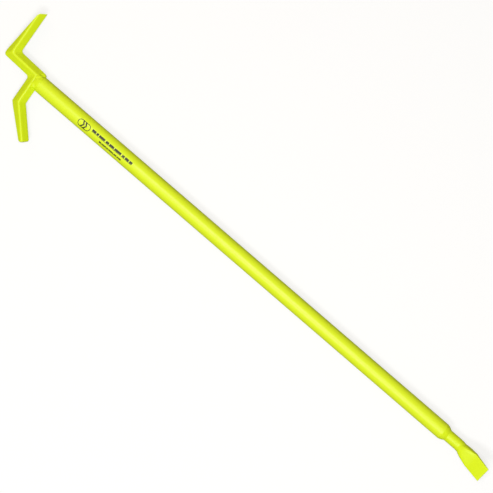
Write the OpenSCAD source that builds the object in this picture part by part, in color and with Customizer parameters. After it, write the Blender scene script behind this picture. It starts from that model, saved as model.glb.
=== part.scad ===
// Roof hook: an all-steel pole with a two-armed hook head at one end and a bent pry blade at the
// other. Millimetres. +X runs along the pole from the hook head to the pry blade, both hooks lie
// in the XY plane, +Y is the straight hook's side, +Z is the side the blade bends to, and the
// origin is on the pole's axis at the middle of the tube.

/* [Pole] */
// Outside diameter of the pole tube
pole_d = 33; // [28:0.5:38]
// Wall thickness of the pole tube
pole_wall = 3; // [2.5:0.25:4]
// Length of the pole tube
pole_len = 1014; // [600:1:1800]
// Length of the plug that closes the tube's hook end
plug_len = 30; // [10:1:60]

/* [Hook bars] */
// Side of the square bar that both hooks are made from
bar_side = 19; // [16:0.5:22]
// Radius of the bar's long edges
bar_edge_r = 2; // [1:0.25:4]
// Distance from the tube's end out to the corner where the two bars meet
corner_out = 16.3; // [14:0.1:20]
// Sideways offset of that corner from the pole's axis
corner_side = 8.7; // [4:0.1:10]
// Width of the weld in each mitre
mitre_weld = 1.2; // [1:0.1:4]

/* [Straight hook] */
// Length of the leg from the corner to the elbow
leg_len = 63.4; // [50:0.1:90]
// Lean of the leg towards the straight hook's side, in degrees
leg_lean = 2.3; // [0:0.1:5]
// Height of the straight hook's tip above the elbow
hook_rise = 98.7; // [70:0.1:120]
// Lean of the straight hook away from square to the pole, in degrees
hook_lean = 5.9; // [0:0.1:10]
// Distance from the elbow out to the flat ground on the back of the hook
back_out = 12.4; // [9:0.1:13]
// Lean of that flat back towards the pole, in degrees
back_lean = 1.7; // [0:0.1:4]
// Slope of the bevelled tip from the pole's direction, in degrees
tip_bevel = 41.5; // [30:0.5:60]
// Radius on the outside of the elbow
elbow_r = 6.5; // [3:0.5:9]
// Fillet radius of the weld inside the elbow
elbow_fillet = 6; // [3:0.5:9]

/* [Angled hook] */
// Length of the arm from the corner to the elbow
arm_len = 61; // [45:0.5:75]
// Lean of the arm back over the pole, in degrees
arm_lean = 6.4; // [0:0.1:10]
// Length of the claw from the elbow to its end
claw_len = 77; // [60:0.5:90]
// Direction of the claw from square to the pole, in degrees
claw_angle = 45.3; // [30:0.1:55]
// Taper ground on the outside of the claw, in degrees
claw_taper = 4.8; // [2:0.1:7]
// Radius on the corners of the claw's end
claw_end_r = 4; // [1:0.5:6]
// Fillet radius of the weld between the arm and the leg
notch_fillet = 7; // [4:0.5:9]

/* [Head weld] */
// Length of the weld that joins the bars to the tube's end
head_weld_len = 13.5; // [8:0.5:16]
// Radius of that weld at its outer end
head_weld_r = 10.5; // [8:0.5:14]
// Radius of the bulge of weld over the corner of the bars
bulge_r = 6; // [4:0.5:8]

/* [Pry bar] */
// Diameter of the shank inside the tube
shank_d = 26.7; // [22:0.1:26.8]
// Length of the shank inside the tube
shank_len = 80; // [50:1:120]
// Diameter of the neck between the tube and the blade
neck_d = 23.2; // [20:0.1:25]
// Length of the weld round the neck
neck_weld_len = 11.5; // [6:0.5:16]
// Distance from the tube's end to the corner of the bend
neck_len = 42; // [30:1:60]
// Radius of the bend, at the bar's centre line
bend_r = 25; // [18:1:60]
// Bend of the blade out of the pole's line, in degrees
blade_bend = 27; // [0:1:40]
// Turn of the blade about the pole's axis, in degrees
blade_turn = 24; // [0:1:90]

/* [Pry blade] */
// Length of the blade from the bend to its edge
blade_len = 68; // [50:1:90]
// Length over which the round bar flares out to the blade's width
flare_len = 30; // [20:1:45]
// Greatest width of the blade
blade_w = 34; // [30:0.2:44]
// Width of the blade at its edge
edge_w = 33; // [30:0.2:44]
// Length over which the upper side flattens
top_run = 32; // [20:1:50]
// Length over which the lower side flattens
bottom_run = 44; // [20:1:55]
// Thickness of the blade where it has become flat
blade_t = 6; // [4:0.2:9]
// Thickness of the blade where its edge bevels start
edge_t = 2.8; // [2:0.1:5]
// Length of the bevels along the edge
bevel_len = 4; // [2:0.5:8]

/* [Printed marking] */
// Distance from the tube's hook end to the start of the marking
print_start = 100.5; // [60:0.5:300]
// Thickness of the printed film
print_t = 0.05; // [0.03:0.01:0.08]

/* [Hidden] */
$fn = 96;

// Sizes for cutting only: a block larger than the hook head, how far a bar runs past its mitre
// before it is cut, how far a cutter passes a face, and the thickness of a slice that is hulled
big = 400;
overrun = 30;
pass = 1;
slice = 0.01;

pole_r = pole_d / 2;
bore_d = pole_d - 2 * pole_wall;
plug_play = 0.2;
head_x = -pole_len / 2;
pry_x = pole_len / 2;
plug_d = bore_d - plug_play;
neck_r = neck_d / 2;

// Blade: how far the flare's edge passes the blade's width, how much higher than the neck each
// side starts, how far the flare starts inside the bend's surface, and how steeply it opens
flare_over = 0.3;
crown = 0.4;
flare_lap = 0.15;
flare_power = 1.4;
blade_steps = 8;
flare_top = blade_w / 2 + flare_over;
face_slope = -(blade_t - edge_t) / 2 / (blade_len - bevel_len - top_run);

// Half the bar's size from one rounded edge to the opposite one, and from centre to a sharp edge
bar_half = bar_side / sqrt(2) - bar_edge_r * (sqrt(2) - 1);
bar_sharp = bar_side / sqrt(2);

// Directions of the bars in the XY plane, going out from the corner
leg_dir = 180 - leg_lean;
hook_dir = 90 + hook_lean;
arm_dir = 270 + arm_lean;
claw_dir = 270 + claw_angle;

// Points of the bars' centre lines
function along(p, len, angle) = p + len * [cos(angle), sin(angle)];
corner_p = [head_x - corner_out, corner_side];
leg_p = along(corner_p, leg_len, leg_dir);
arm_p = along(corner_p, arm_len, arm_dir);
tip_p = leg_p + [bar_half * cos(hook_lean) - hook_rise * tan(hook_lean), hook_rise];
back_p = leg_p - [back_out, 0];
back_dir = 90 - back_lean;

// Mitre lines, each one pointing so that the first bar lies on its left
corner_mitre = (leg_dir + 180 + arm_dir) / 2 + 90;
elbow_mitre = (leg_dir + hook_dir) / 2 + 90;
claw_mitre = (arm_dir + claw_dir) / 2 + 90;

// How far a fillet's circle runs into the bars, so that its edges stay clear of a tangent
fillet_bite = 0.3;
// How far up the bars' faces a fillet goes
fillet_height = 9;

// Head weld: step down from the tube's surface, and the bulge's place by the tube's end
weld_step = 0.2;
bulge_back = 5;
bulge_in = 1.2;
// Thickness of the neck weld where it ends on the neck
neck_weld_lip = 0.6;
// Length of the claw's outside before its taper starts
claw_foot = 4;

// Printed marking, measured from its start along the pole and from the pole's axis across it
emblem_w = 29;
emblem_h = 14;
emblem_y = -4.2;
emblem_line = 1.3;
chevron_starts = [8, 14];
chevron_w = 3;
chevron_dip = 4;
chevron_margin = 0.6;
// Rows of blocks, each block as its start and its width, over a thin rule with a gap between
row_gap = 0.4;
long_x = 33;
long_y = -4.4;
long_h = 5.6;
long_rule = 0.7;
long_blocks = [[0, 9], [10.6, 5], [17.2, 14], [34, 7], [42.6, 11], [55.4, 16], [74.2, 6],
               [81.8, 9], [92.4, 6.6]];
short_x = 56;
short_y = -11.2;
short_h = 2.6;
short_rule = 0.5;
short_blocks = [[0, 6], [7, 10], [18.2, 4], [23.4, 12], [36.8, 7], [45, 9.6]];

lime = [0.80, 0.93, 0.05];
weld_lime = [0.72, 0.86, 0.05];
ink = [0.12, 0.13, 0.05];
steel = [0.55, 0.55, 0.54];

// ---- square bars -------------------------------------------------------------------------

module bar_section() {
    core = bar_side - 2 * bar_edge_r;
    rotate(45) union() {
        square([bar_side, core], center = true);
        square([core, bar_side], center = true);
        for (x = [-1, 1]) for (y = [-1, 1])
            translate([x * core / 2, y * core / 2]) circle(r = bar_edge_r, $fn = 48);
    }
}

// A bar through p along a direction, from back behind p to ahead in front of it
module bar(p, angle, back, ahead) {
    translate([p[0], p[1], 0]) rotate([0, 0, angle]) translate([-back, 0, 0])
        rotate([0, 90, 0]) linear_extrude(back + ahead) bar_section();
}

// Everything on the left of a line in the XY plane, moved off the line by gap
module left_of(p, angle, gap = 0) {
    translate([p[0], p[1], 0]) rotate([0, 0, angle])
        translate([-big / 2, gap, -big / 2]) cube(big);
}

module right_of(p, angle, gap = 0) {
    left_of(p, angle + 180, gap);
}

// The slice of space that a mitre's weld fills
module mitre_slab(p, angle) {
    translate([p[0], p[1], 0]) rotate([0, 0, angle])
        cube([big, mitre_weld, big], center = true);
}

// The tube's end plane, and everything beyond it that the bars must leave free
module tube_side() {
    translate([head_x, -big / 2, -big / 2]) cube(big);
}

module leg_bar() {
    bar(corner_p, leg_dir, overrun, leg_len + overrun);
}

module hook_bar() {
    bar(leg_p, hook_dir, overrun, hook_rise + overrun);
}

module arm_bar() {
    bar(corner_p, arm_dir, overrun, arm_len + overrun);
}

module claw_bar() {
    bar(arm_p, claw_dir, overrun, claw_len);
}

// The slice of two bars, both of them running past their mitre, that its weld fills
module mitre_bead(p, angle) {
    intersection() {
        union() {
            children(0);
            children(1);
        }
        mitre_slab(p, angle);
    }
}

// ---- straight hook -----------------------------------------------------------------------

// Material outside the rounded corner between the leg's edge and the flat back of the hook
module elbow_corner() {
    edge_p = leg_p + bar_half * [-sin(leg_dir), cos(leg_dir)];
    to_back = back_p - edge_p;
    step = (to_back[0] * sin(back_dir) - to_back[1] * cos(back_dir)) / sin(back_dir - leg_dir);
    cross = along(edge_p, step, leg_dir);
    reach = elbow_r / tan((leg_dir - back_dir) / 2);
    start = along(cross, reach, leg_dir + 180);
    finish = along(cross, reach, back_dir);
    centre = along(start, elbow_r, leg_dir - 90);
    translate([0, 0, -big / 2]) linear_extrude(big) difference() {
        polygon([centre, start, along(start, overrun, leg_dir + 90),
                 along(cross, 2 * overrun, leg_dir + 45),
                 along(finish, overrun, back_dir + 90), finish]);
        translate(centre) circle(r = elbow_r);
    }
}

module hook_cuts() {
    left_of(back_p, back_dir);
    left_of(tip_p, tip_bevel);
    elbow_corner();
}

// Fillet of weld in the valley between two bars that leave p along the angles a and b, where b
// is further round and the open side lies between them. The fillet follows the bars' faces up
// from their edges to the given height, on both sides of the XY plane.
module valley_weld(p, a, b, r, height) {
    half = (b - a) / 2;
    mid = (a + b) / 2;
    low = along(p, (bar_half + r - fillet_bite) / sin(half), mid);
    high = along(p, (bar_sharp - height + r - fillet_bite) / sin(half), mid);
    for (side = [0, 1]) mirror([0, 0, side]) difference() {
        hull() {
            valley_quad(p, low, a, b, r, 0);
            valley_quad(p, high, a, b, r, height);
        }
        hull() {
            translate([low[0], low[1], -slice]) cylinder(r = r, h = slice, $fn = 64);
            translate([high[0], high[1], height]) cylinder(r = r, h = slice, $fn = 64);
        }
    }
}

module valley_quad(p, c, a, b, r, z) {
    translate([0, 0, z]) linear_extrude(slice)
        polygon([p, along(c, r, a - 90), c, along(c, r, b + 90)]);
}

module straight_hook_leg() {
    color(lime) difference() {
        intersection() {
            leg_bar();
            left_of(corner_p, corner_mitre, mitre_weld / 2);
            left_of(leg_p, elbow_mitre, mitre_weld / 2);
        }
        tube_side();
        elbow_corner();
    }
}

module straight_hook_point() {
    color(lime) difference() {
        intersection() {
            hook_bar();
            right_of(leg_p, elbow_mitre, mitre_weld / 2);
        }
        hook_cuts();
    }
}

module straight_hook_weld() {
    color(weld_lime) {
        difference() {
            mitre_bead(leg_p, elbow_mitre) {
                leg_bar();
                hook_bar();
            }
            hook_cuts();
        }
        difference() {
            valley_weld(leg_p, leg_dir - 180, hook_dir, elbow_fillet, fillet_height);
            leg_bar();
            hook_bar();
        }
    }
}

// ---- angled hook -------------------------------------------------------------------------

// Outline of the claw in the XY plane, with its outside ground to a taper
module claw_outline() {
    inner = bar_sharp;
    outer = -bar_half;
    behind = -overrun - pass;
    end_outer = outer + (claw_len - claw_foot) * tan(claw_taper);
    r = claw_end_r;
    translate([arm_p[0], arm_p[1], -big / 2]) rotate([0, 0, claw_dir]) linear_extrude(big)
        union() {
            polygon([[behind, inner], [behind, outer], [claw_foot, outer],
                     [claw_len - r, end_outer], [claw_len - r, inner]]);
            polygon([[claw_len - r, end_outer + r], [claw_len, end_outer + r],
                     [claw_len, bar_half - r], [claw_len - r, bar_half - r]]);
            translate([claw_len - r, end_outer + r]) circle(r = r, $fn = 48);
            translate([claw_len - r, bar_half - r]) circle(r = r, $fn = 48);
        }
}

module angled_hook_arm() {
    color(lime) difference() {
        intersection() {
            arm_bar();
            right_of(corner_p, corner_mitre, mitre_weld / 2);
            left_of(arm_p, claw_mitre, mitre_weld / 2);
        }
        tube_side();
    }
}

module angled_hook_claw() {
    color(lime) intersection() {
        claw_bar();
        right_of(arm_p, claw_mitre, mitre_weld / 2);
        claw_outline();
    }
}

module angled_hook_weld() {
    color(weld_lime) intersection() {
        mitre_bead(arm_p, claw_mitre) {
            arm_bar();
            claw_bar();
        }
        claw_outline();
    }
}

module corner_weld() {
    color(weld_lime) mitre_bead(corner_p, corner_mitre) {
        leg_bar();
        arm_bar();
    }
}

module notch_weld() {
    color(weld_lime) difference() {
        valley_weld(corner_p, leg_dir, arm_dir, notch_fillet, fillet_height);
        leg_bar();
        arm_bar();
    }
}

// ---- pole --------------------------------------------------------------------------------

module pole_tube() {
    color(lime) translate([head_x, 0, 0]) rotate([0, 90, 0]) difference() {
        cylinder(d = pole_d, h = pole_len);
        translate([0, 0, -pass]) cylinder(d = bore_d, h = pole_len + 2 * pass);
    }
}

module head_plug() {
    color(steel) translate([head_x, 0, 0]) rotate([0, 90, 0]) cylinder(d = plug_d, h = plug_len);
}

// Weld that fills the space between the tube's end and the bars, front and back
module head_weld() {
    color(weld_lime) difference() {
        union() {
            translate([head_x - head_weld_len, 0, 0]) rotate([0, 90, 0])
                cylinder(r1 = head_weld_r, r2 = pole_r - weld_step, h = head_weld_len);
            translate([head_x - bulge_back, pole_r - bulge_in, 0]) sphere(r = bulge_r);
        }
        intersection() {
            leg_bar();
            left_of(corner_p, corner_mitre, -mitre_weld / 2);
        }
        intersection() {
            arm_bar();
            right_of(corner_p, corner_mitre, -mitre_weld / 2);
        }
        tube_side();
    }
}

// ---- pry end -----------------------------------------------------------------------------

// Radius of the flare at a distance from the bend, a curve that starts along the neck
function flare_r(x) =
    neck_r + flare_lap + (flare_top - neck_r - flare_lap) * pow(x / flare_len, flare_power);

// Half thickness where a side flattens over a run: a curve that ends along the blade's face
function flat_h(x, run) =
    face_h(run) + (x - run) * face_slope + (neck_r + crown - face_h(0)) * pow(1 - x / run, 2);

// Half thickness of the straight faces of the blade
function face_h(x) = edge_t / 2 + (blade_len - bevel_len - x) * -face_slope;

module blade() {
    steps = blade_steps;
    widen = [for (i = [0 : steps]) i / steps * flare_len];
    top = [for (i = [0 : steps]) let (x = i / steps * top_run) [x, flat_h(x, top_run)]];
    bottom = [for (i = [steps : -1 : 0])
        let (x = i / steps * bottom_run) [x, -flat_h(x, bottom_run)]];
    bevel_x = blade_len - bevel_len;
    past = blade_len + pass;
    back = -2 * pass;
    clear = neck_r + 3 * pass;
    intersection() {
        rotate([0, 90, 0]) rotate_extrude()
            polygon(concat([[0, -pass], [neck_r - flare_over, -pass]],
                           [for (x = widen) [flare_r(x), x]],
                           [[blade_w, past], [0, past]]));
        translate([0, 0, -big / 2]) linear_extrude(big)
            polygon([[back, -blade_w / 2], [flare_len, -blade_w / 2], [blade_len, -edge_w / 2],
                     [blade_len, edge_w / 2], [flare_len, blade_w / 2], [back, blade_w / 2]]);
        rotate([90, 0, 0]) translate([0, 0, -big / 2]) linear_extrude(big)
            polygon(concat([[back, -clear], [back, clear]], top,
                           [[bevel_x, edge_t / 2], [blade_len, edge_t / 4],
                            [blade_len, -edge_t / 4], [bevel_x, -edge_t / 2]], bottom));
    }
}

module pry_bar() {
    bend_in = bend_r * tan(blade_bend / 2);
    color(lime) translate([pry_x, 0, 0]) rotate([blade_turn, 0, 0]) {
        translate([-shank_len, 0, 0]) rotate([0, 90, 0]) cylinder(d = shank_d, h = shank_len);
        rotate([0, 90, 0]) cylinder(r = neck_r, h = neck_len - bend_in);
        translate([neck_len - bend_in, 0, bend_r]) {
            rotate([90, 0, 0]) rotate([0, 0, -90]) rotate_extrude(angle = blade_bend)
                translate([bend_r, 0]) circle(r = neck_r);
            rotate([0, -blade_bend, 0]) translate([0, 0, -bend_r]) blade();
        }
    }
}

module pry_weld() {
    color(weld_lime) translate([pry_x, 0, 0]) rotate([0, 90, 0]) difference() {
        cylinder(r1 = pole_r, r2 = neck_r + neck_weld_lip, h = neck_weld_len);
        translate([0, 0, -pass]) cylinder(r = neck_r, h = neck_weld_len + 2 * pass);
    }
}

// ---- printed marking ---------------------------------------------------------------------

// A film on the +Z side of the pole, in the shape of its flat children
module film() {
    intersection() {
        translate([head_x, 0, 0]) rotate([0, 90, 0]) difference() {
            cylinder(r = pole_r + print_t, h = pole_len);
            translate([0, 0, -pass]) cylinder(r = pole_r, h = pole_len + 2 * pass);
        }
        translate([head_x + print_start, 0, 0]) linear_extrude(pole_d) children();
    }
}

// A row of blocks over a rule, h high in all
module block_row(blocks, h, rule) {
    last = blocks[len(blocks) - 1];
    foot = rule + row_gap;
    square([last[0] + last[1], rule]);
    for (b = blocks) translate([b[0], foot]) square([b[1], h - foot]);
}

module capsule(w, h) {
    translate([h / 2, -h / 2]) square([w - h, h]);
    translate([h / 2, 0]) circle(d = h);
    translate([w - h / 2, 0]) circle(d = h);
}

module print_emblem() {
    inset = emblem_line;
    top = emblem_h / 2 - chevron_margin;
    nose = chevron_w + chevron_dip;
    color(ink) film() translate([0, emblem_y]) {
        difference() {
            capsule(emblem_w, emblem_h);
            translate([inset, 0]) capsule(emblem_w - 2 * inset, emblem_h - 2 * inset);
        }
        for (x = chevron_starts) translate([x, 0])
            polygon([[0, -top], [chevron_w, -top], [nose, 0], [chevron_w, top], [0, top],
                     [chevron_dip, 0]]);
    }
}

module print_long_line() {
    color(ink) film() translate([long_x, long_y]) block_row(long_blocks, long_h, long_rule);
}

module print_short_line() {
    color(ink) film() translate([short_x, short_y]) block_row(short_blocks, short_h, short_rule);
}

pole_tube();
head_plug();
straight_hook_leg();
straight_hook_point();
straight_hook_weld();
angled_hook_arm();
angled_hook_claw();
angled_hook_weld();
corner_weld();
notch_weld();
head_weld();
pry_bar();
pry_weld();
print_emblem();
print_long_line();
print_short_line();
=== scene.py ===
"""Looks of the roof hook: coated square-bar hooks, weld beads, forged pry blade, print, stage and camera.

Metres, in the CAD's frame: +X along the pole towards the pry blade, +Y the straight hook's side,
+Z up from the floor that the tool lies on.
"""

import math

import bmesh
import bpy
import numpy as np
from mathutils import Matrix, Vector, noise


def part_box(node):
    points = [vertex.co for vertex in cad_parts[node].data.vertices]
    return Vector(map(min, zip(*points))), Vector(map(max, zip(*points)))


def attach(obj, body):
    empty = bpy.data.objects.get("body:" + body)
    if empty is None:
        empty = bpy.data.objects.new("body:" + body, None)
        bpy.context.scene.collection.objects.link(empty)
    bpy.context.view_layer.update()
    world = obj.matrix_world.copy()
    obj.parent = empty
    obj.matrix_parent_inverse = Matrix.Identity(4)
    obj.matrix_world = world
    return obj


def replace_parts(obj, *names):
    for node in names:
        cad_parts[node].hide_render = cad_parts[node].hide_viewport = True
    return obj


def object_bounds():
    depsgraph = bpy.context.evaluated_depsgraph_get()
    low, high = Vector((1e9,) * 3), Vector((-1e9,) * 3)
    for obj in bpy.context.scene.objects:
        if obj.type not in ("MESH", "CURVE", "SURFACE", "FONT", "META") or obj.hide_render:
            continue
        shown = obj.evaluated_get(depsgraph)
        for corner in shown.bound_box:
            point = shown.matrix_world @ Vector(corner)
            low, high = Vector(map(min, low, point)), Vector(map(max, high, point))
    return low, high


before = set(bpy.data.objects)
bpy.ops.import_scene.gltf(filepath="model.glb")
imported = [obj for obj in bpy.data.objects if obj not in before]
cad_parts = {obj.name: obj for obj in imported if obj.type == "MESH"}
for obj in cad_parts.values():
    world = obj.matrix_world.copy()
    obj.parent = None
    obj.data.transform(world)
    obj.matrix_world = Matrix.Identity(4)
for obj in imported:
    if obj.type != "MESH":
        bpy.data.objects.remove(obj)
cad_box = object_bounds()
MM = 0.001

# ---- dimensions: the CAD's own, but where a line says otherwise --------------------------

POLE_R = 16.5 * MM
HEAD_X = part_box("pole_tube")[0].x
PRY_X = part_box("pole_tube")[1].x

BAR_SIDE = 19 * MM
BAR_EDGE_R = 2 * MM
BAR_RIDGE_R = 4 * MM  # 2 mm in the CAD; rounder here, for a broad bright ridge
BAR_HALF = BAR_SIDE / math.sqrt(2) - BAR_EDGE_R * (math.sqrt(2) - 1)
CORNER_OUT = 16.3 * MM
CORNER_SIDE = 8.7 * MM
LEG_LEN = 63.4 * MM
LEG_DIR = math.radians(180 - 2.3)
HOOK_RISE = 98.7 * MM
HOOK_LEAN = math.radians(5.9)
BACK_OUT = 12.4 * MM
BACK_LEAN = math.radians(1.7)
TIP_BEVEL = math.radians(41.5)
ARM_LEN = 61 * MM
ARM_DIR = math.radians(270 + 6.4)
CLAW_LEN = 77 * MM
CLAW_DIR = math.radians(270 + 45.3)
CLAW_TAPER = math.radians(4.8)
CLAW_FOOT = 4 * MM
CLAW_END_R = 4 * MM
HEEL_FLAT = 1.0 * MM  # not in the CAD

SHANK_R = 13.35 * MM
SHANK_LEN = 80 * MM
NECK_R = 11.6 * MM
NECK_LEN = 42 * MM
NECK_WELD = 11.5 * MM
BEND_R = 25 * MM
BEND = math.radians(27)
TURN = math.radians(24)
BLADE_LEN = 68 * MM
FLARE_LEN = 30 * MM
FLARE_POWER = 1.1  # 1.4 in the CAD
BLADE_W = 34 * MM
EDGE_W = 33 * MM
TOP_RUN = 38 * MM  # 32 mm in the CAD
BOTTOM_RUN = 46 * MM  # 44 mm in the CAD
BLADE_T = 6 * MM
EDGE_T = 2.8 * MM
BEVEL_LEN = 4 * MM


def heading(angle):
    return np.array([math.cos(angle), math.sin(angle)])


CORNER = np.array([HEAD_X - CORNER_OUT, CORNER_SIDE])
ELBOW = CORNER + LEG_LEN * heading(LEG_DIR)
TIP = ELBOW + np.array([BAR_HALF * math.cos(HOOK_LEAN) - HOOK_RISE * math.tan(HOOK_LEAN), HOOK_RISE])
HOOK_DIR = math.pi / 2 + HOOK_LEAN
KNEE = CORNER + ARM_LEN * heading(ARM_DIR)


# ---- helpers -----------------------------------------------------------------------------

CUT_SNAP = 1e-7  # metres


def mesh_object(name, verts, faces):
    mesh = bpy.data.meshes.new(name)
    mesh.from_pydata([tuple(v) for v in verts], [], [tuple(f) for f in faces])
    mesh.validate()
    obj = bpy.data.objects.new(name, mesh)
    bpy.context.scene.collection.objects.link(obj)
    mesh.shade_smooth()
    return obj


def edit(obj):
    bm = bmesh.new()
    bm.from_mesh(obj.data)
    return bm


def put_back(obj, bm):
    bmesh.ops.recalc_face_normals(bm, faces=bm.faces)
    bm.to_mesh(obj.data)
    bm.free()


def sharp_by_angle(obj, degrees):
    """Smooth shading everywhere but over edges that turn by more than an angle."""
    bm = edit(obj)
    for face in bm.faces:
        face.smooth = True
    for e in bm.edges:
        e.smooth = not (len(e.link_faces) == 2 and e.calc_face_angle(0) > math.radians(degrees))
    put_back(obj, bm)


def loft(name, rings):
    """A skin over rings of equally many points, closed by flat ends."""
    count = len(rings[0])
    verts = [p for ring in rings for p in ring]
    faces = []
    for i in range(len(rings) - 1):
        for j in range(count):
            k = (j + 1) % count
            faces.append((i * count + j, i * count + k, (i + 1) * count + k, (i + 1) * count + j))
    faces.append(tuple(range(count)))
    faces.append(tuple(range((len(rings) - 1) * count, len(rings) * count)))
    return mesh_object(name, verts, faces)


def slice_off(obj, point, normal):
    """Cuts away what lies on the normal's side of a plane, and closes the cut."""
    bm = edit(obj)
    cut = bmesh.ops.bisect_plane(bm, geom=bm.verts[:] + bm.edges[:] + bm.faces[:], dist=CUT_SNAP,
                                 plane_co=Vector(point), plane_no=Vector(normal), clear_outer=True)
    edges = [g for g in cut["geom_cut"] if isinstance(g, bmesh.types.BMEdge)]
    bmesh.ops.holes_fill(bm, edges=edges, sides=0)
    put_back(obj, bm)


# ---- square bars -------------------------------------------------------------------------

EDGE_STEPS = 8
FACE_STEPS = 4
ARC_STEPS = 8
STRAIGHT_STEPS = 24
BAR_SHARP = 24  # degrees


def bar_section():
    """Points round a square bar that stands on one edge: (sideways offset, height)."""
    points = []
    for quarter in range(4):
        middle, after = quarter * math.pi / 2, (quarter + 1) * math.pi / 2
        radius, next_radius = (BAR_RIDGE_R, BAR_EDGE_R) if quarter % 2 else (BAR_EDGE_R, BAR_RIDGE_R)
        centre = (BAR_SIDE / math.sqrt(2) - radius * math.sqrt(2)) * heading(middle)
        for i in range(EDGE_STEPS + 1):
            points.append(centre + radius * heading(middle + (i / EDGE_STEPS - 0.5) * math.pi / 2))
        here = points[-1]
        there = ((BAR_SIDE / math.sqrt(2) - next_radius * math.sqrt(2)) * heading(after)
                 + next_radius * heading(after - math.pi / 4))
        for i in range(1, FACE_STEPS):
            points.append(here + (there - here) * i / FACE_STEPS)
    return points


# The centre line of all four bars, from one tip to the other, and how far each corner is rounded
# on its inside and on its outside. The straight hook runs past its tip before the bevel is cut.
OVERRUN = 20 * MM
CHAIN = [ELBOW + (HOOK_RISE + OVERRUN) * heading(HOOK_DIR), ELBOW, CORNER, KNEE,
         KNEE + CLAW_LEN * heading(CLAW_DIR)]
CORNER_R = [(6.5 * MM, 6.5 * MM), (7 * MM, 1.5 * MM), (2.5 * MM, 1.5 * MM)]
CLAW_END_TILTS = (22, 45, 68)  # degrees; the flats that round off the claw's two end corners


def chain_line(offset):
    """One long line of the bars' skin: for each bar the points from its first end to its last."""
    way = [b - a for a, b in zip(CHAIN, CHAIN[1:])]
    way = [w / np.linalg.norm(w) for w in way]
    side = [np.array([-w[1], w[0]]) for w in way]
    bars = [[] for _ in way]
    bars[0].append(CHAIN[0] + offset * side[0])
    for k, (inside, outside) in enumerate(CORNER_R):
        turn = math.atan2(way[k][0] * way[k + 1][1] - way[k][1] * way[k + 1][0], way[k] @ way[k + 1])
        share = 0.5 + 0.5 * math.copysign(1, turn) * offset / BAR_HALF
        radius = outside + (inside - outside) * share
        meet = CHAIN[k + 1] + offset * (side[k] + side[k + 1]) / (1 + side[k] @ side[k + 1])
        reach = radius * math.tan(abs(turn) / 2)
        centre = meet - reach * way[k] + math.copysign(radius, turn) * side[k]
        for i in range(ARC_STEPS + 1):
            angle = turn * i / ARC_STEPS
            spin = np.array([[math.cos(angle), -math.sin(angle)], [math.sin(angle), math.cos(angle)]])
            point = centre - spin @ (math.copysign(radius, turn) * side[k])
            if i <= ARC_STEPS // 2:
                bars[k].append(point)
            if i >= ARC_STEPS // 2:
                bars[k + 1].append(point)
    bars[-1].append(CHAIN[-1] + offset * side[-1])
    return bars


def bar_pieces(names):
    section = bar_section()
    lines = [chain_line(o) for o, _ in section]
    pieces = []
    for k, name in enumerate(names):
        stations = len(lines[0][k])
        straight = 0 if k == 0 else ARC_STEPS // 2
        rings = [[(*lines[j][k][i], section[j][1]) for j in range(len(section))] for i in range(stations)]
        dense = []
        for i in range(stations - 1):
            a, b = np.array(rings[i]), np.array(rings[i + 1])
            parts = STRAIGHT_STEPS if i == straight else 1
            dense += [a + (b - a) * s / parts for s in range(parts)]
        dense.append(np.array(rings[-1]))
        pieces.append(loft(name, dense))
    return pieces


def make_hooks():
    point, leg, arm, claw = bar_pieces(
        ["straight_hook_point_coated", "straight_hook_leg_coated", "angled_hook_arm_coated",
         "angled_hook_claw_coated"])
    back = heading(math.pi / 2 - BACK_LEAN)
    for piece in (point, leg):
        slice_off(piece, (ELBOW[0] - BACK_OUT, ELBOW[1], 0), (-back[1], back[0], 0))
    bevel = heading(TIP_BEVEL)
    slice_off(point, (*TIP, 0), (-bevel[1], bevel[0], 0))
    # a small flat where the ground back meets the bevel
    slope = (TIP_BEVEL + math.pi / 2 - BACK_LEAN) / 2
    heel = np.array([ELBOW[0] - BACK_OUT + HOOK_RISE * math.tan(BACK_LEAN), 0])
    heel[1] = TIP[1] - (TIP[0] - heel[0]) * math.tan(TIP_BEVEL)
    slice_off(point, (*(heel + HEEL_FLAT * np.array([math.sin(slope), -math.cos(slope)])), 0),
              (-math.sin(slope), math.cos(slope), 0))
    way = heading(CLAW_DIR)
    side = np.array([-way[1], way[0]])
    start = KNEE - BAR_HALF * side + CLAW_FOOT * way
    out = math.sin(CLAW_TAPER) * way - math.cos(CLAW_TAPER) * side
    slice_off(claw, (*start, 0), (*out, 0))
    end = KNEE + CLAW_LEN * way
    outer = -BAR_HALF + (CLAW_LEN - CLAW_FOOT) * math.tan(CLAW_TAPER)
    for corner, inward in ((BAR_HALF, -1), (outer, 1)):
        for tilt in CLAW_END_TILTS:
            angle = math.radians(tilt)
            centre = end - CLAW_END_R * way + (corner + inward * CLAW_END_R) * side
            normal = math.cos(angle) * way - inward * math.sin(angle) * side
            slice_off(claw, (*(centre + CLAW_END_R * normal), 0), (*normal, 0))
    for piece in (point, leg, arm, claw):
        sharp_by_angle(piece, BAR_SHARP)
    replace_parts(point, "straight_hook_point")
    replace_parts(leg, "straight_hook_leg", "straight_hook_weld")
    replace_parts(arm, "angled_hook_arm", "corner_weld", "notch_weld")
    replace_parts(claw, "angled_hook_claw", "angled_hook_weld")
    return [point, leg, arm, claw]


# ---- forged pry bar ----------------------------------------------------------------------

PRY_SIDES = 128
NECK_STEPS = 12
BEND_STEPS = 8
BLADE_STEPS = 72
SHANK_CHAMFER = 1 * MM
SHANK_STEP = 0.2 * MM
ROUND = 2  # the power at which a superellipse is a plain ellipse
SQUARED = 7  # what is added to that power where the blade is fully squared off
SQUARED_BY = 0.75  # of the blade's length
FORGED_SHARP = 40  # degrees


def blade_half_width(x):
    """The flare opens in a curve from the round neck, then runs on nearly straight to the edge."""
    if x < FLARE_LEN:
        return NECK_R + (BLADE_W / 2 - NECK_R) * (x / FLARE_LEN) ** FLARE_POWER
    return BLADE_W / 2 - (BLADE_W - EDGE_W) / 2 * (x - FLARE_LEN) / (BLADE_LEN - FLARE_LEN)


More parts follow.
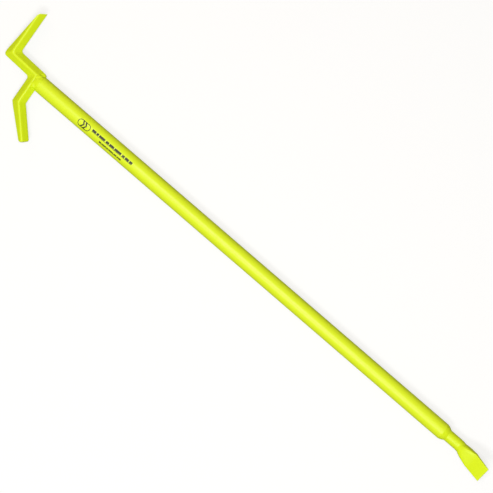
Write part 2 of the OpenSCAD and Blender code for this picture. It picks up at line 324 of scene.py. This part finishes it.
def blade_half_height(x, run):
    """One side flattens from the neck's roundness over a run, then wedges to the bevelled edge."""
    if x > BLADE_LEN - BEVEL_LEN:
        return EDGE_T / 2 - (x - BLADE_LEN + BEVEL_LEN) / BEVEL_LEN * EDGE_T / 4
    slope = (BLADE_T - EDGE_T) / 2 / (BLADE_LEN - BEVEL_LEN - TOP_RUN)
    face = EDGE_T / 2 + (BLADE_LEN - BEVEL_LEN - x) * slope
    left = math.cos(min(x / run, 1) * math.pi / 2) ** 2
    return face + (NECK_R - face) * left


def blade_ring(x):
    """Points (sideways, up) round the blade: a circle at the neck, squared off towards the edge."""
    squareness = ROUND + SQUARED * min(x / (SQUARED_BY * BLADE_LEN), 1)
    width = blade_half_width(x)
    ring = []
    for j in range(PRY_SIDES):
        angle = 2 * math.pi * j / PRY_SIDES
        c, s = math.cos(angle), math.sin(angle)
        height = blade_half_height(x, TOP_RUN if s > 0 else BOTTOM_RUN)
        ring.append((width * math.copysign(abs(c) ** (2 / squareness), c),
                     height * math.copysign(abs(s) ** (2 / squareness), s)))
    return ring


def make_pry_bar():
    bend_in = BEND_R * math.tan(BEND / 2)
    straight = NECK_LEN - bend_in
    rings = []

    def add(x, z, tilt, ring):
        rings.append([(x - math.sin(tilt) * v, u, z + math.cos(tilt) * v) for u, v in ring])

    def disc(radius):
        turns = [2 * math.pi * j / PRY_SIDES for j in range(PRY_SIDES)]
        return [(radius * math.cos(a), radius * math.sin(a)) for a in turns]

    for x, radius in ((-SHANK_LEN, SHANK_R - SHANK_CHAMFER), (-SHANK_LEN + SHANK_CHAMFER, SHANK_R),
                      (-SHANK_STEP, SHANK_R), (0, NECK_R)):
        add(x, 0, 0, disc(radius))
    for i in range(1, NECK_STEPS + 1):
        add(straight * i / NECK_STEPS, 0, 0, disc(NECK_R))
    for i in range(1, BEND_STEPS + 1):
        a = BEND * i / BEND_STEPS
        add(straight + BEND_R * math.sin(a), BEND_R * (1 - math.cos(a)), a, disc(NECK_R))
    x0 = straight + BEND_R * math.sin(BEND)
    z0 = BEND_R * (1 - math.cos(BEND))
    for i in range(1, BLADE_STEPS + 1):
        x = BLADE_LEN * i / BLADE_STEPS
        add(x0 + x * math.cos(BEND), z0 + x * math.sin(BEND), BEND, blade_ring(x))
    bar = loft("pry_bar_forged", rings)
    bar.data.transform(Matrix.Translation((PRY_X, 0, 0)) @ Matrix.Rotation(TURN, 4, "X"))
    sharp_by_angle(bar, FORGED_SHARP)
    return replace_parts(bar, "pry_bar")


# ---- welds -------------------------------------------------------------------------------

LIP = 0.3 * MM  # how far the neck weld's thin end stands off the neck; 0.6 mm in the CAD
SWELL = 0.55 * MM
RIPPLE = 0.07 * MM
RIPPLES_ROUND = 26
LUMP = 0.25 * MM
TUBE_SIDE = 0.3  # the share of the neck weld's length, from the tube, where it swells less ...
TUBE_SIDE_SWELL = 0.7  # ... by this factor
INNER_SHARE = 0.93  # the ring that closes the bead inside the neck, as a share of its last ring


def make_pry_weld():
    """A coned bead round the neck, rippled as the torch went round."""
    rings = []
    rows, count = 22, 220
    for i in range(rows + 1):
        t = i / rows
        ring = []
        for j in range(count):
            angle = 2 * math.pi * j / count
            base = POLE_R + (NECK_R + LIP - POLE_R) * t
            swell = SWELL * math.sin(math.pi * t)
            wave = math.sin(RIPPLES_ROUND * angle + 5 * t + 0.8 * math.sin(3 * angle))
            ripple = RIPPLE * wave * math.sin(math.pi * t)
            lump = LUMP * noise.noise(Vector((4 * t, 2 * math.cos(angle), 2 * math.sin(angle))))
            share = TUBE_SIDE_SWELL if t < TUBE_SIDE else 1
            r = base + (swell + ripple + lump * math.sin(math.pi * t)) * share
            r = min(r, POLE_R)
            ring.append((PRY_X + t * NECK_WELD, r * math.cos(angle), r * math.sin(angle)))
        rings.append(ring)
    inner = [(PRY_X + NECK_WELD, p[1] * INNER_SHARE, p[2] * INNER_SHARE) for p in rings[-1]]
    weld = loft("pry_weld_bead", rings + [inner])
    sharp_by_angle(weld, FORGED_SHARP)
    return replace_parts(weld, "pry_weld")


def blob(parts, centre, size, turn):
    """Adds an ellipsoid with half lengths size, turned about Z."""
    ball = bmesh.new()
    bmesh.ops.create_icosphere(ball, subdivisions=4, radius=1)
    matrix = (Matrix.Translation(centre) @ Matrix.Rotation(turn, 4, "Z")
              @ Matrix.Diagonal((*size, 1)))
    bmesh.ops.transform(ball, matrix=matrix, verts=ball.verts)
    mesh = bpy.data.meshes.new("blob")
    ball.to_mesh(mesh)
    ball.free()
    obj = bpy.data.objects.new("blob", mesh)
    bpy.context.scene.collection.objects.link(obj)
    parts.append(obj)


COLLAR_LEN = 14 * MM
COLLAR_DROP = 3.6 * MM  # how much its radius shrinks from the tube's end to its own end
COLLAR_SET_IN = 0.15 * MM
OVER_TUBE = 0.2 * MM  # how far beyond the tube's end the collar starts, inside the tube
LAST_X = 0.1 * MM  # how far beyond that end a point of the finished weld may lie
VOXEL = 0.7 * MM
RELAX_STEPS = 14
FADE_LEN = 3 * MM  # the surface marks fade out over this length before the tube
MARK_WAVE = 0.05 * MM
MARK_LUMP = 0.2 * MM


def make_head_weld():
    """Weld metal between the tube's end and the bars: a collar and the lobes round it.

    One lobe sits on the leg's side. The other four, two above the tool's mid plane and two below,
    build up the metal between the tube's end and the bars.
    """
    collar = []
    rows, count = 16, 96
    for i in range(rows + 1):
        t = i / rows
        x = HEAD_X + OVER_TUBE - t * COLLAR_LEN
        r = POLE_R - COLLAR_SET_IN - COLLAR_DROP * t ** 1.6
        collar.append([(x, r * math.cos(2 * math.pi * j / count), r * math.sin(2 * math.pi * j / count))
                       for j in range(count)])
    body = loft("head_weld_bead", collar)
    parts = [body]
    blob(parts, (HEAD_X - 4.6 * MM, POLE_R - 1.3 * MM, 0), (5.2 * MM, 5.2 * MM, 5 * MM), 0.5)
    for z in (-1, 1):
        blob(parts, (HEAD_X - 9 * MM, -7 * MM, z * 7.5 * MM), (8 * MM, 9 * MM, 5.6 * MM), 0.1)
        blob(parts, (HEAD_X - 9 * MM, 6 * MM, z * 7.8 * MM), (10 * MM, 8 * MM, 5.4 * MM), 0.1)
    bpy.ops.object.select_all(action="DESELECT")
    for part in parts:
        part.select_set(True)
    bpy.context.view_layer.objects.active = body
    bpy.ops.object.join()
    remesh = body.modifiers.new("fuse", "REMESH")
    remesh.mode = "VOXEL"
    remesh.voxel_size = VOXEL
    relax = body.modifiers.new("relax", "SMOOTH")
    relax.iterations = RELAX_STEPS
    relax.factor = 0.5
    for modifier in ("fuse", "relax"):
        bpy.ops.object.modifier_apply(modifier=modifier)
    for v in body.data.vertices:
        angle = math.atan2(v.co.z, v.co.y)
        fade = min(max((HEAD_X - v.co.x) / FADE_LEN, 0), 1)
        push = MARK_WAVE * math.sin(24 * angle + 700 * v.co.x) + MARK_LUMP * noise.noise(v.co * 200)
        v.co += v.normal * push * fade
        v.co.x = min(v.co.x, HEAD_X + LAST_X)
    body.data.shade_smooth()
    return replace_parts(body, "head_weld")


# ---- materials ---------------------------------------------------------------------------

def nodes_of(name):
    mat = bpy.data.materials.new(name)
    mat.use_nodes = True
    tree = mat.node_tree
    return mat, tree, tree.nodes["Principled BSDF"]


def add_node(tree, kind, **values):
    node = tree.nodes.new(kind)
    for key, value in values.items():
        if key in node.inputs:
            node.inputs[key].default_value = value
        else:
            setattr(node, key, value)
    return node


def noise_node(tree, coords, scale, detail):
    """Noise in the object's own metres: its features are about 1 / scale wide."""
    node = add_node(tree, "ShaderNodeTexNoise", Scale=scale, Detail=detail, Roughness=0.5)
    tree.links.new(coords, node.inputs["Vector"])
    return node.outputs["Fac"]


def span(tree, value, low, high, to_low, to_high):
    """Stretches low to high over to_low to to_high, and holds it at both ends."""
    node = add_node(tree, "ShaderNodeMapRange")
    for key, number in zip(("From Min", "From Max", "To Min", "To Max"), (low, high, to_low, to_high)):
        node.inputs[key].default_value = number
    tree.links.new(value, node.inputs["Value"])
    return node.outputs["Result"]


COLOUR_A, COLOUR_B, COLOUR_OUT = 6, 7, 2  # the Mix node's sockets for colours


def mix_colour(tree, factor, a, b):
    node = add_node(tree, "ShaderNodeMix", data_type="RGBA")
    tree.links.new(factor, node.inputs["Factor"])
    for socket, value in ((node.inputs[COLOUR_A], a), (node.inputs[COLOUR_B], b)):
        if isinstance(value, tuple):
            socket.default_value = (*value, 1)
        else:
            tree.links.new(value, socket)
    return node.outputs[COLOUR_OUT]


def bump(tree, height, distance, strength, after=None):
    node = add_node(tree, "ShaderNodeBump", Distance=distance, Strength=strength)
    tree.links.new(height, node.inputs["Height"])
    if after is not None:
        tree.links.new(after, node.inputs["Normal"])
    return node.outputs["Normal"]


LIME = (0.70, 0.885, 0.012)
# painted highlight colour: a paler lime laid on convex edges
LIME_EDGE_HIGHLIGHT = (0.76, 0.93, 0.03)
LIME_DEEP = (0.64, 0.80, 0.006)
INK = (0.012, 0.015, 0.008)
INK_WORN = (0.09, 0.11, 0.02)
STEEL = (0.42, 0.42, 0.41)
STEEL_BROWN = (0.30, 0.28, 0.26)


ORANGE_PEEL = 0.00012  # bump heights, metres
FLOW_MARKS = 0.0003


def powder_coat(name, peel=1.0):
    """Satin lime powder coat: orange peel, faint mottling, and a painted highlight of paler lime on
    convex edges.
    """
    mat, tree, shader = nodes_of(name)
    coords = add_node(tree, "ShaderNodeTexCoord").outputs["Object"]
    mottle = noise_node(tree, coords, 38, 4)
    tone = mix_colour(tree, span(tree, mottle, 0.35, 0.7, 0, 0.22), LIME, LIME_DEEP)
    # painted highlight: convex edges, found by pointiness, are lightened towards a paler lime
    edge = add_node(tree, "ShaderNodeNewGeometry").outputs["Pointiness"]
    tone = mix_colour(tree, span(tree, edge, 0.52, 0.60, 0, 0.5), tone, LIME_EDGE_HIGHLIGHT)
    speck = noise_node(tree, coords, 2600, 1)
    tone = mix_colour(tree, span(tree, speck, 0.72, 0.78, 0, 0.35), tone, LIME_DEEP)
    tree.links.new(tone, shader.inputs["Base Color"])
    cloud = noise_node(tree, coords, 90, 3)
    tree.links.new(span(tree, cloud, 0.3, 0.7, 0.38, 0.46), shader.inputs["Roughness"])
    orange = bump(tree, noise_node(tree, coords, 620, 2), ORANGE_PEEL * peel, 0.45)
    flow = bump(tree, noise_node(tree, coords, 120, 2), FLOW_MARKS * peel, 0.25, orange)
    tree.links.new(flow, shader.inputs["Normal"])
    shader.inputs["Specular IOR Level"].default_value = 0.3
    shader.inputs["Coat Weight"].default_value = 0.1
    shader.inputs["Coat Roughness"].default_value = 0.2
    return mat


def printed_ink():
    mat, tree, shader = nodes_of("black_print")
    coords = add_node(tree, "ShaderNodeTexCoord").outputs["Object"]
    grain = noise_node(tree, coords, 1800, 3)
    tone = mix_colour(tree, span(tree, grain, 0.45, 0.75, 0, 0.5), INK, INK_WORN)
    tree.links.new(tone, shader.inputs["Base Color"])
    shader.inputs["Roughness"].default_value = 0.55
    return mat


def raw_steel():
    mat, tree, shader = nodes_of("bare_steel")
    coords = add_node(tree, "ShaderNodeTexCoord").outputs["Object"]
    scale = noise_node(tree, coords, 300, 4)
    tone = mix_colour(tree, scale, STEEL, STEEL_BROWN)
    tree.links.new(tone, shader.inputs["Base Color"])
    shader.inputs["Metallic"].default_value = 1
    shader.inputs["Roughness"].default_value = 0.5
    return mat


def give(obj, mat):
    obj.data.materials.clear()
    obj.data.materials.append(mat)


hooks = make_hooks()
pry_bar = make_pry_bar()
welds = [make_head_weld(), make_pry_weld()]

coat = powder_coat("lime_powder_coat")
weld_coat = powder_coat("lime_coat_on_weld", peel=1.6)
ink = printed_ink()
steel = raw_steel()
for piece in hooks + [pry_bar]:
    give(piece, coat)
    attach(piece, "root")
for piece in welds:
    give(piece, weld_coat)
    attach(piece, "root")
give(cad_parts["pole_tube"], coat)
give(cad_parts["head_plug"], steel)
for node in ("print_emblem", "print_long_line", "print_short_line"):
    give(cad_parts[node], ink)

# ---- stage, light and camera -------------------------------------------------------------

VIEW_WIDTH = 0.9411  # metres of the tool's plane across the picture
CAMERA_HEIGHT = 4.0
CAMERA_OVER = (-0.0073, 0.0222)
CAMERA_TURN = math.radians(40.756)
SENSOR = 36  # mm
FLOOR_ARCS = 12


def make_floor():
    """A round sheet of pale paper that curves up into a wall well away from the tool."""
    count, flat, curve, wall = 96, 7.0, 3.0, 9.0
    profile = [(flat + curve * math.sin(a), curve * (1 - math.cos(a)))
               for a in np.linspace(0, math.pi / 2, FLOOR_ARCS + 1)] + [(flat + curve, wall)]
    verts = [(r * math.cos(2 * math.pi * j / count), r * math.sin(2 * math.pi * j / count), z)
             for r, z in profile for j in range(count)]
    faces = [tuple(range(count))]
    for i in range(len(profile) - 1):
        for j in range(count):
            k = (j + 1) % count
            faces.append((i * count + k, i * count + j, (i + 1) * count + j, (i + 1) * count + k))
    floor = mesh_object("floor", verts, faces)
    floor.location.z = cad_box[0][2]
    mat, _, shader = nodes_of("floor_paper")
    shader.inputs["Base Color"].default_value = (0.30, 0.30, 0.30, 1)
    shader.inputs["Roughness"].default_value = 0.9
    shader.inputs["Specular IOR Level"].default_value = 0.1
    shader.inputs["Emission Color"].default_value = (0.98, 0.985, 1, 1)
    shader.inputs["Emission Strength"].default_value = 0.69
    floor.data.materials.append(mat)
    floor.visible_glossy = False
    floor.visible_diffuse = False
    floor.visible_shadow = False


def area_light(name, place, aim, size, power, colour=(1, 1, 1)):
    """A rectangular light of so many watts, turned from its place towards a point."""
    data = bpy.data.lights.new(name, "AREA")
    data.shape = "RECTANGLE"
    data.size, data.size_y = size
    data.energy = power
    data.color = colour
    obj = bpy.data.objects.new(name, data)
    bpy.context.scene.collection.objects.link(obj)
    obj.location = place
    obj.rotation_euler = (Vector(aim) - Vector(place)).to_track_quat("-Z", "Y").to_euler()


def make_light():
    world = bpy.data.worlds.new("studio")
    bpy.context.scene.world = world
    world.use_nodes = True
    world.node_tree.nodes["Background"].inputs["Color"].default_value = (1, 0.86, 0.55, 1)
    world.node_tree.nodes["Background"].inputs["Strength"].default_value = 0.27
    area_light("key", (0.5, -1.7, 3.2), (0.1, 0, 0), (1.4, 0.8), 50)
    area_light("top", (0, -0.1, 3.6), (0, 0, 0), (1.3, 1.3), 67)
    area_light("warm_fill", (-2.2, 0.8, 1.2), (0, 0, 0), (1.0, 1.0), 6, (1, 0.7, 0.4))


def make_camera():
    data = bpy.data.cameras.new("camera")
    data.sensor_width = SENSOR
    data.lens = SENSOR * CAMERA_HEIGHT / VIEW_WIDTH
    data.clip_end = 50
    cam = bpy.data.objects.new("camera", data)
    bpy.context.scene.collection.objects.link(cam)
    cam.location = (*CAMERA_OVER, CAMERA_HEIGHT)
    cam.rotation_euler = (0, 0, CAMERA_TURN)
    bpy.context.scene.camera = cam


make_floor()
make_light()
make_camera()
bpy.context.scene.view_settings.view_transform = "Standard"
